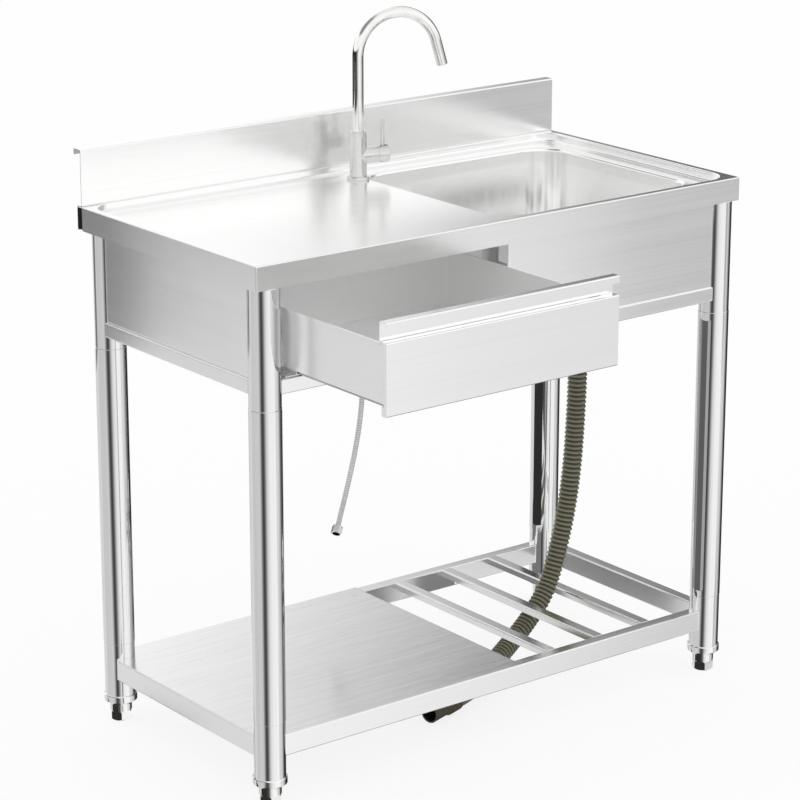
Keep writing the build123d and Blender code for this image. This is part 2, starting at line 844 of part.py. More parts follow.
def make_tap_cap():
    start = tap_side_length + slide_gap
    end = start + tap_cap_length
    cap = bar_along_x(start, end, tap_side_z, tap_side_radius)
    cap = fillet(cap.edges().sort_by(Axis.X)[-1], tap_edge_bend)
    cap -= bar_along_x(start + tap_cap_back, end - tap_cap_wall, tap_side_z,
                       tap_side_radius - tap_cap_wall)
    tilt = math.radians(lever_tilt)
    sweep_out = tap_side_radius * math.tan(tilt) + lever_radius / math.cos(tilt)
    slot_width = lever_radius + lever_slot_gap
    cap -= block(lever_reach - slot_width, lever_reach + sweep_out + lever_slot_gap,
                 -slot_width, slot_width, tap_side_z, tap_side_z + tap_side_radius)
    cap -= Pos(lever_reach, 0, tap_side_z) * Rot(90, 0, 0) * Cylinder(
        lever_trunnion_radius + running_gap, 2 * (tap_side_radius - tap_edge_bend + slide_gap))
    cap += bar_along_x(tap_side_length - tap_spindle_length, start, tap_side_z, tap_spindle_radius)
    return tap_place * cap


def make_tap_lever():
    lever = rod(lever_reach, 0, tap_side_z, tap_side_z + lever_length, lever_radius)
    lever = fillet(lever.edges().group_by(Axis.Z)[-1], tap_edge_bend)
    lever += Pos(lever_reach, 0, tap_side_z) * Sphere(lever_ball_radius)
    lever += Pos(lever_reach, 0, tap_side_z) * Rot(90, 0, 0) * Cylinder(
        lever_trunnion_radius, 2 * (tap_side_radius - tap_edge_bend))
    return tap_place * lever


def spout_path():
    """Riser, bend and tail of the spout in its own upright plane."""
    riser_top = tap_body_top + spout_rise
    middle = Vector(spout_bend, 0, riser_top)

    def on_bend(turn):
        angle = math.radians(180 - turn)
        return middle + Vector(math.cos(angle), 0, math.sin(angle)) * spout_bend

    riser = Line((0, 0, tap_body_top - spout_insert), (0, 0, riser_top))
    bend = ThreePointArc(on_bend(0), on_bend(spout_turn / 2), on_bend(spout_turn))
    return riser + bend + Line(bend @ 1, bend @ 1 + (bend % 1) * spout_tail)


def make_tap_spout():
    path = spout_path()
    section = Circle(spout_radius) - Circle(spout_radius - spout_wall)
    return tap_place * sweep(Pos(path @ 0) * section, path)


def make_tap_aerator():
    path = spout_path()
    disc = Cylinder(spout_radius - spout_wall - seat_gap, aerator_depth,
                    align=(Align.CENTER, Align.CENTER, Align.MAX))
    holes = PolarLocations(aerator_ring_radius, aerator_holes)
    disc -= [place * Cylinder(aerator_hole_radius, 2 * aerator_depth + 1) for place in holes]
    return tap_place * (Plane(path @ 1, z_dir=path % 1) * disc)


def make_tap_shank():
    return pipe(tap_x, tap_y, shank_bottom, tap_body_base, shank_radius, shank_bore)


def make_tap_washer():
    return pipe(tap_x, tap_y, tap_deck_under - tap_washer_height, tap_deck_under,
                tap_washer_radius, shank_radius + seat_gap)


def make_tap_nut():
    top = tap_deck_under - tap_washer_height
    nut = Pos(tap_x, tap_y, 0) * hexagon(tap_nut_width, top - tap_nut_height, top)
    return nut - rod(tap_x, tap_y, top - tap_nut_height, top, shank_radius + seat_gap)


def make_supply_ferrule():
    return rod(tap_x, tap_y, supply_top, shank_bottom, ferrule_radius)


pieces = {
    "worktop": make_worktop(),
    "backsplash": make_backsplash(),
    "rear_end_plugs": make_end_plugs(),
    "sink_bowl": make_bowl(),
    "drain_flange": make_drain_flange(),
    "drain_gasket": make_drain_gasket(),
    "drain_locknut": make_drain_locknut(),
    "drain_tailpiece": make_drain_tailpiece(),
    "drain_hose_nut": make_drain_hose_nut(),
    "drain_hose": make_drain_hose(),
    "drain_cuff": make_drain_cuff(),
    "strainer_basket": make_strainer_basket(),
    "leg_upper_sockets": make_upper_sockets(),
    "leg_lower_sockets": make_lower_sockets(),
    "foot_collars": make_foot_collars(),
    "rail_left": make_side_rail(),
    "rail_right": mirrored(make_side_rail()),
    "rail_front": make_cross_rail(front_rail_inset),
    "rail_rear": make_cross_rail(top_depth - rear_rail_inset - rail_depth),
    "panel_left": make_side_panel(),
    "panel_right": mirrored(make_side_panel()),
    "panel_rear": make_rear_panel(),
    "panel_front": make_front_panel(),
    "shelf_rail_left": make_shelf_side_rail(),
    "shelf_rail_right": mirrored(make_shelf_side_rail()),
    "shelf_rail_front": make_shelf_cross_rail(shelf_front_inset),
    "shelf_rail_rear": make_shelf_cross_rail(shelf_rear - shelf_rail_width),
    "shelf_plate": make_shelf_plate(),
    "drawer_front": make_drawer_front(),
    "drawer_box": make_drawer_box(),
    "drawer_studs": make_drawer_studs(),
    "tap_flange": make_tap_flange(),
    "tap_body": make_tap_body(),
    "tap_cap": make_tap_cap(),
    "tap_lever": make_tap_lever(),
    "tap_spout": make_tap_spout(),
    "tap_aerator": make_tap_aerator(),
    "tap_shank": make_tap_shank(),
    "tap_washer": make_tap_washer(),
    "tap_nut": make_tap_nut(),
    "supply_ferrule": make_supply_ferrule(),
    "supply_hose": make_supply_hose(),
    "supply_nut": make_supply_nut(),
}
for corner, (x, y) in leg_places.items():
    pieces["leg_tube_" + corner] = make_leg_tube(x, y)
    pieces["foot_" + corner] = make_foot(x, y)
for side, x in slider_places.items():
    pieces["drawer_slider_" + side] = make_drawer_slider(x)
    pieces["drawer_runner_" + side] = make_drawer_runner(x)
for number in range(slat_count):
    pieces[f"shelf_slat_{number + 1}"] = make_shelf_slat(number)

# The origin lies on the floor, below the middle of the whole sink with its drawer as shown
middle = Pos(-top_width / 2, -(splash_rear + drawer_face) / 2, 0)
os.makedirs("parts", exist_ok=True)
for name, shape in pieces.items():
    export_step(middle * shape, f"parts/{name}.step")
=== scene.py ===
import math

import bmesh
import bpy
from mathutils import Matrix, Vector


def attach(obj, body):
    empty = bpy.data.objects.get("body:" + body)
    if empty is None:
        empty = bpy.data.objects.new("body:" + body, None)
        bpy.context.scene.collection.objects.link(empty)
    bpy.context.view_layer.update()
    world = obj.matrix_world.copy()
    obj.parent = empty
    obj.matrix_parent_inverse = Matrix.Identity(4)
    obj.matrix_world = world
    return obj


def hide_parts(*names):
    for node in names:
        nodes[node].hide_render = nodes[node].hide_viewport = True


# Freestanding outdoor sink: brushed stainless top, drawer and shelf on polished legs.
# All sizes are in metres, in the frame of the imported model.
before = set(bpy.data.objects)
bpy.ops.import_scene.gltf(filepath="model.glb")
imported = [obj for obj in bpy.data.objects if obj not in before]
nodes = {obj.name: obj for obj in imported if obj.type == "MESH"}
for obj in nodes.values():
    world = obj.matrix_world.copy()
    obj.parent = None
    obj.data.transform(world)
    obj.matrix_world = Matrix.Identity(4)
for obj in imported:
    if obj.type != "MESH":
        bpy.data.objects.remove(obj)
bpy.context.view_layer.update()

# Camera, solved from the photograph: angles in degrees, lens and sensor in millimetres
CAMERA_PLACE = (-3.01938, -3.74921, 2.02165)
CAMERA_AZIMUTH = -37.687
CAMERA_ELEVATION = 16.926
CAMERA_LENS = 136.21
CAMERA_SENSOR = 36.0

# Edges of the worktop, from which the routes of the hoses are measured
WORKTOP_LEFT = -0.5
WORKTOP_FRONT = -0.1345

# Waste hose, and the liner of the cuff at its end: a black sheet of painted shade in the cuff's hollow
DRAIN_DIAMETER = 0.035
DRAIN_BORE = 0.0272
DRAIN_RIB_PITCH = 0.0083
DRAIN_RIB_DEPTH = 0.0032
DRAIN_RIB_POWER = 0.6
RINGS_PER_RIB = 8
CUFF_LENGTH = 0.076
CUFF_INNER_RADIUS = 0.0136
CUFF_LINER_WALL = 0.0003
CUFF_LINER_GAP = 0.0001

# Supply hose, and the washer of the nut at its end
SUPPLY_DIAMETER = 0.009
SUPPLY_BORE = 0.006
SUPPLY_RING_STEP = 0.004
SUPPLY_BRAID_PITCH = 0.0085
SUPPLY_BRAID_STRANDS = 8
NUT_BACK = 0.003
NUT_WASHER_RADIUS = 0.0066
NUT_WASHER_INNER_RADIUS = 0.0025
NUT_WASHER_THICKNESS = 0.002
NUT_WASHER_BEVEL = 0.0005

# Tap, on its own axes: the spout's riser, bend and tail, and the set screw in the cap
TAP_X = 0.018
TAP_Y = 0.2989
TAP_HEADING = math.radians(-16.2)
TAP_ALONG = Vector((math.cos(TAP_HEADING), math.sin(TAP_HEADING), 0))
TAP_RIGHT = Vector((math.sin(TAP_HEADING), -math.cos(TAP_HEADING), 0))
TAP_BODY_TOP = 0.959608
SPOUT_RADIUS = 0.0094
SPOUT_INNER_RADIUS = 0.0085
SPOUT_INSERT = 0.026
SPOUT_RISE = 0.128
SPOUT_BEND_RADIUS = 0.0723
SPOUT_TURN = math.radians(164.6)
SPOUT_TAIL = 0.044
SPOUT_LIP = 0.0006
VALVE_Z = 0.917608
VALVE_RADIUS = 0.0148
SCREW_REACH = 0.0389
SCREW_RADIUS = 0.0019
SCREW_CROWN_SHARE = 0.9
SCREW_SINK = 0.0006
SCREW_PROUD = 0.00008
SCREW_TURN = math.radians(35)
KEY_RADIUS = 0.0011
KEY_SIDES = 6

# Fineness of the meshes
CURVE_STEPS = 24
HEADING_STEPS = 400
TUBE_SIDES = 40
SPOUT_STEPS = 320
SPOUT_SIDES = 72
SPOUT_RING_STEP = 0.002
SCREW_SIDES = 24
WELD_DISTANCE = 1e-6

# Stage: a floor that glows for the camera, keeps a shadow and throws light back at the object
FLOOR_SIZE = 60.0
FLOOR_GLOW = 0.83
FLOOR_SHADOW = 0.20
FLOOR_BOUNCE = 0.8

# Light that falls on matt surfaces, from all round, and how often light is followed from metal to metal
SOFT_LIGHT = 0.8
MIRROR_BOUNCES = 10

# Brightness that metal mirrors, by compass direction in degrees from the X axis: low round the legs, level
# with the tap, above the horizon, higher up and near the top. Straight overhead it is one level.
LOW_RING = [
    (-180, 0.66), (-170, 0.66), (-163, 0.52), (-157, 0.24), (-150, 0.09), (-144, 0.05), (-138, 0.08),
    (-131, 0.22), (-124, 0.48), (-117, 0.70), (-107, 0.86), (-92, 0.97), (-70, 1.0), (-60, 1.0),
    (-56, 0.98), (-53, 0.86), (-50, 0.78), (-46, 0.74), (-39, 0.76), (-31, 0.70), (-22, 0.56),
    (-11, 0.20), (0, 0.03), (38, 0.02), (48, 0.40), (56, 0.74), (88, 0.76), (109, 0.72), (124, 0.74),
    (140, 0.62), (180, 0.66),
]
TAP_RING = [
    (-180, 0.02), (-168, 0.04), (-150, 0.15), (-138, 0.35), (-128, 0.72), (-108, 1.0), (-84, 1.0),
    (-64, 0.85), (-38, 0.45), (-20, 0.18), (-8, 0.04), (48, 0.03), (60, 0.20), (78, 0.25), (90, 0.06),
    (104, 0.02), (180, 0.02),
]
HIGH_RING = [
    (-180, 0.95), (-130, 1.05), (-70, 1.1), (-36, 1.1), (-24, 0.80), (-12, 0.45), (0, 0.18), (28, 0.12),
    (40, 0.05), (46, 0.07), (49.5, 0.30), (53, 0.93), (58, 1.18), (100, 1.12), (156, 1.05), (180, 0.95),
]
TOP_RING = [
    (-180, 0.95), (-130, 1.05), (-40, 1.1), (-20, 0.70), (0, 0.40), (30, 0.30), (42, 0.10), (49, 0.12),
    (51, 0.26), (53, 0.48), (55, 0.70), (58, 0.92), (64, 1.08), (100, 1.05), (180, 0.95),
]
DOME_RING = [
    (-180, 0.30), (-165, 0.32), (-152, 0.70), (-140, 1.0), (-30, 1.0), (0, 0.85), (40, 0.85), (60, 1.0),
    (92, 1.0), (106, 0.45), (116, 0.30), (180, 0.30),
]
OVERHEAD = 0.86

# Heights, on a sphere of radius 1, over which each of them takes over from the one below
TAP_RISE = (-0.225, -0.205)
HIGH_RISE = (-0.03, 0.03)
TOP_RISE = (0.33, 0.37)
DOME_RISE = (0.43, 0.50)
OVERHEAD_RISE = (0.88, 0.97)

# Cards that only metal mirrors: their brightness, and two opposite corners of an upright rectangle
CARDS = [
    ("card_rear", 0.20, (-1.0, 1.0, 0.42), (-0.60, 1.0, 0.95)),
    ("card_front", 0.50, (1.50, -1.60, 0.0), (2.40, -1.60, 1.0)),
    ("card_front_low", 0.58, (1.55, -1.60, -0.80), (2.40, -1.60, -0.55)),
    ("card_right_1", 0.40, (0.43, -0.140, 0.147), (0.43, -0.126, 0.64)),
    ("card_right_2", 0.12, (0.43, -0.126, 0.147), (0.43, -0.100, 0.64)),
    ("card_right_3", 0.30, (0.43, -0.100, 0.147), (0.43, -0.080, 0.64)),
    ("card_rear_right", 0.03, (0.43, 0.300, 0.147), (0.43, 0.345, 0.64)),
    ("card_shelf_right", 0.20, (0.25, 0.19, -0.06), (0.25, 0.62, 0.09)),
    ("card_foot_fl", 0.03, (-0.59, -0.18, -0.20), (-0.59, -0.01, -0.01)),
    ("card_foot_rl", 0.03, (-0.59, 0.26, -0.20), (-0.59, 0.43, -0.01)),
    ("card_foot_fr", 0.03, (0.35, -0.18, -0.20), (0.35, -0.01, -0.01)),
    ("card_foot_rr", 0.03, (0.35, 0.26, -0.20), (0.35, 0.43, -0.01)),
]


def cabinet(x, y, z):
    """Point given from the worktop's left edge, front edge and the floor."""
    return Vector((x + WORKTOP_LEFT, y + WORKTOP_FRONT, z))


# Routes of the hoses, from the drain and from the tap down to the fittings at their ends
DRAIN_ROUTE = [
    cabinet(0.867, 0.255, 0.5865),
    cabinet(0.867, 0.255, 0.512),
    cabinet(0.864, 0.255, 0.430),
    cabinet(0.858, 0.255, 0.340),
    cabinet(0.846, 0.255, 0.260),
    cabinet(0.826, 0.2535, 0.188),
    cabinet(0.797, 0.248, 0.121),
    cabinet(0.743, 0.235, 0.077),
    cabinet(0.668, 0.211, 0.046),
    cabinet(0.594, 0.177, 0.030),
    cabinet(0.548, 0.153, 0.022),
    cabinet(0.500, 0.139, 0.0205),
]
SUPPLY_ROUTE = [
    cabinet(0.518, 0.4334, 0.802608),
    cabinet(0.518, 0.4334, 0.715),
    cabinet(0.525, 0.4334, 0.617),
    cabinet(0.527, 0.4334, 0.522),
    cabinet(0.5205, 0.4334, 0.448),
    cabinet(0.509, 0.4334, 0.392),
    cabinet(0.496, 0.4315, 0.350),
    cabinet(0.480, 0.425, 0.315),
    cabinet(0.463, 0.415, 0.290),
    cabinet(0.4465, 0.4025, 0.271),
]


def make_camera():
    data = bpy.data.cameras.new("camera")
    data.lens = CAMERA_LENS
    data.sensor_width = CAMERA_SENSOR
    camera = bpy.data.objects.new("camera", data)
    camera.location = CAMERA_PLACE
    camera.rotation_euler = (math.radians(90 - CAMERA_ELEVATION), 0, math.radians(CAMERA_AZIMUTH))
    bpy.context.scene.collection.objects.link(camera)
    bpy.context.scene.camera = camera


# Lines
def centreline(name, route):
    """Points along the smooth curve that has the route as its control points."""
    curve = bpy.data.curves.new(name, "CURVE")
    curve.dimensions = "3D"
    spline = curve.splines.new("NURBS")
    spline.points.add(len(route) - 1)
    for point, place in zip(spline.points, route):
        point.co = (*place, 1)
    spline.order_u = 3
    spline.use_endpoint_u = True
    curve.resolution_u = CURVE_STEPS
    carrier = bpy.data.objects.new(name, curve)
    line = bpy.data.meshes.new_from_object(carrier)
    points = [vertex.co.copy() for vertex in line.vertices]
    bpy.data.objects.remove(carrier)
    bpy.data.meshes.remove(line)
    return points


class Line:
    """A polyline that can be read by distance from its start."""

    def __init__(self, points):
        self.points = points
        self.marks = [0.0]
        for before, after in zip(points, points[1:]):
            self.marks.append(self.marks[-1] + (after - before).length)
        self.length = self.marks[-1]

    def at(self, distance):
        distance = min(max(distance, 0.0), self.length)
        index = 0
        while index < len(self.points) - 2 and self.marks[index + 1] < distance:
            index += 1
        span = self.marks[index + 1] - self.marks[index]
        share = (distance - self.marks[index]) / span
        return self.points[index].lerp(self.points[index + 1], share)

    def heading(self, distance):
        step = self.length / HEADING_STEPS
        return (self.at(distance + step) - self.at(distance - step)).normalized()

    def rings(self, steps, radius):
        """Rings of one radius at equal steps from end to end, as (distance, radius)."""
        return [(self.length * step / steps, radius) for step in range(steps + 1)]


def straight_on(route, length):
    """Line that carries on straight from the end of a route."""
    end = route[-1]
    heading = (end - route[-2]).normalized()
    return Line([end, end + heading * length])


# Meshes
def add_mesh(name, points, faces, material, smooth=True):
    mesh = bpy.data.meshes.new(name)
    mesh.from_pydata(points, [], faces)
    mesh.update()
    mesh.materials.append(material)
    for polygon in mesh.polygons:
        polygon.use_smooth = smooth
    piece = bpy.data.objects.new(name, mesh)
    bpy.context.scene.collection.objects.link(piece)
    return piece


def add_sheet(name, corners, material):
    """Flat sheet with four corners."""
    return add_mesh(name, corners, [(0, 1, 2, 3)], material, smooth=False)


def band(low, high, sides):
    """Faces between two rings of points, given the index of each ring's first point."""
    faces = []
    for step in range(sides):
        after = (step + 1) % sides
        faces.append((low + step, low + after, high + after, high + step))
    return faces


def tube(name, line, rings, material, sides=TUBE_SIDES):
    """Closed tube wall along a line, out and back: rings is a list of (distance, radius)."""
    points = []
    side = Vector((0, 1, 0))
    for distance, radius in rings:
        heading = line.heading(distance)
        side = (side - heading * side.dot(heading)).normalized()
        other = heading.cross(side)
        centre = line.at(distance)
        for step in range(sides):
            angle = 2 * math.pi * step / sides
            points.append(centre + (side * math.cos(angle) + other * math.sin(angle)) * radius)
    faces = []
    for ring in range(len(rings)):
        faces += band(ring * sides, (ring + 1) % len(rings) * sides, sides)
    piece = add_mesh(name, points, faces, material)
    map_tube(piece.data, rings, sides)
    return piece


def map_tube(mesh, rings, sides):
    """Coordinates on a tube: round it, from 0 to 1, and along it, in metres."""
    uv = mesh.uv_layers.new(name="UVMap")
    for polygon in mesh.polygons:
        ring, step = divmod(polygon.index, sides)
        for corner, loop in enumerate(polygon.loop_indices):
            across = step + (1 if corner in (1, 2) else 0)
            along = rings[(ring + (1 if corner in (2, 3) else 0)) % len(rings)][0]
            uv.data[loop].uv = (across / sides, along)


def weld(mesh):
    """Join points that lie on each other, and turn the faces outwards."""
    form = bmesh.new()
    form.from_mesh(mesh)
    bmesh.ops.remove_doubles(form, verts=form.verts, dist=WELD_DISTANCE)
    bmesh.ops.recalc_face_normals(form, faces=form.faces)
    form.to_mesh(mesh)
    form.free()


# Nodes of materials
def new_material(name):
    """Material with a principled shader, and its node tree and shader."""
    material = bpy.data.materials.new(name)
    material.use_nodes = True
    tree = material.node_tree
    return material, tree, tree.nodes["Principled BSDF"]


def bare_material(name):
    """Material with nothing but its output, and its node tree and surface socket."""
    material = bpy.data.materials.new(name)
    material.use_nodes = True
    tree = material.node_tree
    tree.nodes.clear()
    output = tree.nodes.new("ShaderNodeOutputMaterial")
    return material, tree, output.inputs["Surface"]


def put(socket, value):
    """Set a socket, or link it when the value is another node's output."""
    if isinstance(value, bpy.types.NodeSocket):
        socket.id_data.links.new(value, socket)
    else:
        socket.default_value = value


def maths(tree, operation, first, second=0.0):
    node = tree.nodes.new("ShaderNodeMath")
    node.operation = operation
    put(node.inputs[0], first)
    put(node.inputs[1], second)
    return node.outputs[0]


def blend(tree, first, second, share):
    """Mean of two patterns, with the share of the first."""
    part = maths(tree, "MULTIPLY", first, share)
    rest = maths(tree, "MULTIPLY", second, 1 - share)
    return maths(tree, "ADD", part, rest)


def split(tree, vector):
    """X, Y and Z of a vector."""
    node = tree.nodes.new("ShaderNodeSeparateXYZ")
    put(node.inputs["Vector"], vector)
    return node.outputs


def noise(tree, stretch, detail):
    """Noise on the object's own axes, with so many cells to a metre along each."""
    place = tree.nodes.new("ShaderNodeTexCoord")
    scale = tree.nodes.new("ShaderNodeMapping")
    put(scale.inputs["Scale"], stretch)
    put(scale.inputs["Vector"], place.outputs["Object"])
    node = tree.nodes.new("ShaderNodeTexNoise")
    put(node.inputs["Scale"], 1.0)
    put(node.inputs["Detail"], detail)
    put(node.inputs["Vector"], scale.outputs["Vector"])
    return node.outputs["Fac"]


# Values of noise: few lie outside the first and the last
NOISE_LOW = 0.3
NOISE_MIDDLE = 0.5
NOISE_HIGH = 0.7


def remap(tree, value, low, high, start=NOISE_LOW, end=NOISE_HIGH):
    """Value that goes from low to high while another goes from start to end."""
    node = tree.nodes.new("ShaderNodeMapRange")
    put(node.inputs["Value"], value)
    put(node.inputs["From Min"], start)
    put(node.inputs["From Max"], end)
    put(node.inputs["To Min"], low)
    put(node.inputs["To Max"], high)
    return node.outputs["Result"]


def shades(tree, value, colour, stops):
    """Darker and lighter shades of a colour, through (place, factor) stops."""
    node = tree.nodes.new("ShaderNodeValToRGB")
    put(node.inputs["Fac"], value)
    ramp = node.color_ramp.elements
    while len(ramp) < len(stops):
        ramp.new(0.5)
    for element, (place, factor) in zip(ramp, stops):
        element.position = place
        element.color = (*(channel * factor for channel in colour), 1)
    return node.outputs["Color"]


def bump(tree, shader, height, depth):
    """Relief of the given depth, in metres."""
    node = tree.nodes.new("ShaderNodeBump")
    put(node.inputs["Strength"], 1.0)
    put(node.inputs["Distance"], depth)
    put(node.inputs["Height"], height)
    put(shader.inputs["Normal"], node.outputs["Normal"])


def hose_place(tree):
    """Place on a hose: round it, from 0 to 1, and along it, in metres."""
    place = tree.nodes.new("ShaderNodeUVMap")
    place.uv_map = "UVMap"
    parts = split(tree, place.outputs["UV"])
    return parts["X"], parts["Y"]


def grey(level):
    return (level, level, level, 1)


def diffuse(tree, level):
    node = tree.nodes.new("ShaderNodeBsdfDiffuse")
    put(node.inputs["Color"], grey(level))
    return node.outputs["BSDF"]


def glow(tree, level):
    node = tree.nodes.new("ShaderNodeEmission")
    put(node.inputs["Strength"], level)
    return node.outputs["Emission"]


def background(tree, colour, strength):
    node = tree.nodes.new("ShaderNodeBackground")
    put(node.inputs["Color"], colour)
    put(node.inputs["Strength"], strength)
    return node.outputs["Background"]


def mix_shaders(tree, share, first, second):
    """The first shader, or the second where the share is 1."""
    node = tree.nodes.new("ShaderNodeMixShader")
    put(node.inputs["Fac"], share)
    put(node.inputs[1], first)
    put(node.inputs[2], second)
    return node.outputs["Shader"]


# Brushed steel: cells of the grain to a metre along X, Y and Z, by the way that it runs
GRAIN = {
    "x": (1.6, 420.0, 420.0),
    "y": (420.0, 1.6, 420.0),
    "z": (420.0, 420.0, 1.6),
    "short": (30.0, 640.0, 640.0),
}
BROAD_GRAIN_TIMES = 6
FINE_GRAIN_SHARE = 0.5
SMUDGE_CELLS = 5.0
GRAIN_OVER_SMUDGE = 0.7
GRAIN_DEPTH = 0.000004
BRUSHED_SMOOTHER = 0.04
BRUSHED_ROUGHER = 0.05

# Polished metal: cells of the lines that drawing and turning leave, and of a faint haze
DRAWN_LINES = (260.0, 260.0, 2.0)
BUFFED_LINES = (60.0, 60.0, 60.0)
TURNED_LINES = (400.0, 400.0, 400.0)
HAZE_CELLS = 9.0
LINES_OVER_HAZE = 0.5
DRAWN_DEPTH = 0.000015
BUFFED_DEPTH = 0.000002
POLISHED_ROUGHER = 0.04
POLISHED_SHADES = [(0.35, 0.96), (0.65, 1.02)]

# Moulded plastic and rubber: cells of uneven colour
CLOUD_CELLS = 14.0
MOULDED_SPREAD = 0.06
MOULDED_SHADES = [(0.35, 0.88), (0.65, 1.08)]

# Hoses: painted shade in the grooves of the ribs and painted highlight on their crests, as shades from
# groove to crest; and shades from gap to wire of the braid
RIB_PAINTED_SHADE_AND_HIGHLIGHT = [(0.0, 0.18), (0.45, 0.75), (0.9, 1.25)]
BRAID_SHADES = [(0.20, 0.62), (0.50, 1.0), (0.9, 1.03)]
BRAID_GAP_ROUGH = 0.5
BRAID_WIRE_ROUGH = 0.3
BRAID_METALLIC = 0.3
BRAID_DEPTH = 0.0004

# Colours
STEEL = (0.97, 0.97, 0.967)
BRIGHT_STEEL = (0.995, 0.995, 0.993)
SHELF_STEEL = (0.90, 0.90, 0.898)
ZINC = (0.62, 0.63, 0.64)
CHROME = (0.88, 0.88, 0.88)
WARM_CHROME = (0.91, 0.905, 0.89)
DULL_CHROME = (0.72, 0.715, 0.70)
NICKEL_BRASS = (0.78, 0.74, 0.66)
WIRE = (0.93, 0.93, 0.93)
BLACK = (0.006, 0.006, 0.006)
RUBBER = (0.03, 0.03, 0.032)
WHITE_PLASTIC = (0.80, 0.80, 0.78)
OLIVE = (0.22, 0.21, 0.14)
DARK_OLIVE = (0.115, 0.105, 0.068)
WHITE = (1.0, 1.0, 1.0)


# Materials
def brushed_steel(name, grain, colour, rough, metallic=1.0, brush=0.03):
    """Sheet steel with a brushed grain along one axis and faint smudges."""
    material, tree, shader = new_material(name)
    fine = noise(tree, GRAIN[grain], detail=6.0)
    broad = noise(tree, tuple(cells / BROAD_GRAIN_TIMES for cells in GRAIN[grain]), detail=3.0)
    smudge = noise(tree, (SMUDGE_CELLS,) * 3, detail=2.0)
    both = blend(tree, fine, broad, FINE_GRAIN_SHARE)
    wear = blend(tree, both, smudge, GRAIN_OVER_SMUDGE)
    put(shader.inputs["Base Color"], shades(tree, both, colour, [
        (NOISE_LOW, 1 - brush), (NOISE_MIDDLE, 1.0), (NOISE_HIGH, 1 + brush / 2)]))
    put(shader.inputs["Roughness"], remap(tree, wear, rough - BRUSHED_SMOOTHER, rough + BRUSHED_ROUGHER))
    put(shader.inputs["Metallic"], metallic)
    bump(tree, shader, both, GRAIN_DEPTH)
    return material


def polished_metal(name, colour, rough, lines, depth):
    """Polished metal with the faint lines that drawing or turning leaves."""
    material, tree, shader = new_material(name)
    drawn = noise(tree, lines, detail=3.0)
    haze = noise(tree, (HAZE_CELLS,) * 3, detail=3.0)
    wear = blend(tree, drawn, haze, LINES_OVER_HAZE)
    put(shader.inputs["Base Color"], shades(tree, drawn, colour, POLISHED_SHADES))
    put(shader.inputs["Roughness"], remap(tree, wear, rough, rough + POLISHED_ROUGHER))
    put(shader.inputs["Metallic"], 1.0)
    bump(tree, shader, drawn, depth)
    return material


def moulded(name, colour, rough, pores, depth, shine=0.5):
    """Moulded plastic or rubber with a fine skin and slightly uneven colour."""
    material, tree, shader = new_material(name)
    skin = noise(tree, (pores,) * 3, detail=2.0)
    cloud = noise(tree, (CLOUD_CELLS,) * 3, detail=3.0)
    put(shader.inputs["Base Color"], shades(tree, cloud, colour, MOULDED_SHADES))
    put(shader.inputs["Roughness"], remap(tree, cloud, rough - MOULDED_SPREAD, rough + MOULDED_SPREAD))
    put(shader.inputs["Specular IOR Level"], shine)
    bump(tree, shader, skin, depth)
    return material


def ribbed(name, colour, rough):
    """Plastic of the ribbed hose, with painted shade in the grooves and a painted highlight on the crests.
    """
    material, tree, shader = new_material(name)
    _, along = hose_place(tree)
    wave = maths(tree, "COSINE", maths(tree, "MULTIPLY", along, 2 * math.pi / DRAIN_RIB_PITCH))
    height = remap(tree, wave, 1.0, 0.0, -1.0, 1.0)
    cloud = noise(tree, (CLOUD_CELLS,) * 3, detail=3.0)
    # Painted shade and highlight: grooves darker and crests lighter than the plastic's own colour
    put(shader.inputs["Base Color"], shades(tree, height, colour, RIB_PAINTED_SHADE_AND_HIGHLIGHT))
    put(shader.inputs["Roughness"], remap(tree, cloud, rough - MOULDED_SPREAD, rough + MOULDED_SPREAD))
    return material


def braid(name, colour):
    """Braid of steel wire: strands that wind round the hose both ways."""
    material, tree, shader = new_material(name)
    across, along = hose_place(tree)
    turn = maths(tree, "MULTIPLY", across, 2 * math.pi * SUPPLY_BRAID_STRANDS)
    pitch = maths(tree, "MULTIPLY", along, 2 * math.pi / SUPPLY_BRAID_PITCH)
    right_hand = maths(tree, "SINE", maths(tree, "ADD", turn, pitch))
    left_hand = maths(tree, "SINE", maths(tree, "SUBTRACT", turn, pitch))
    weave = maths(tree, "MULTIPLY", right_hand, left_hand)
    height = remap(tree, weave, 0.0, 1.0, -1.0, 1.0)
    put(shader.inputs["Base Color"], shades(tree, height, colour, BRAID_SHADES))
    put(shader.inputs["Roughness"], remap(tree, height, BRAID_GAP_ROUGH, BRAID_WIRE_ROUGH, 0.0, 1.0))
    put(shader.inputs["Metallic"], BRAID_METALLIC)
    bump(tree, shader, height, BRAID_DEPTH)
    return material


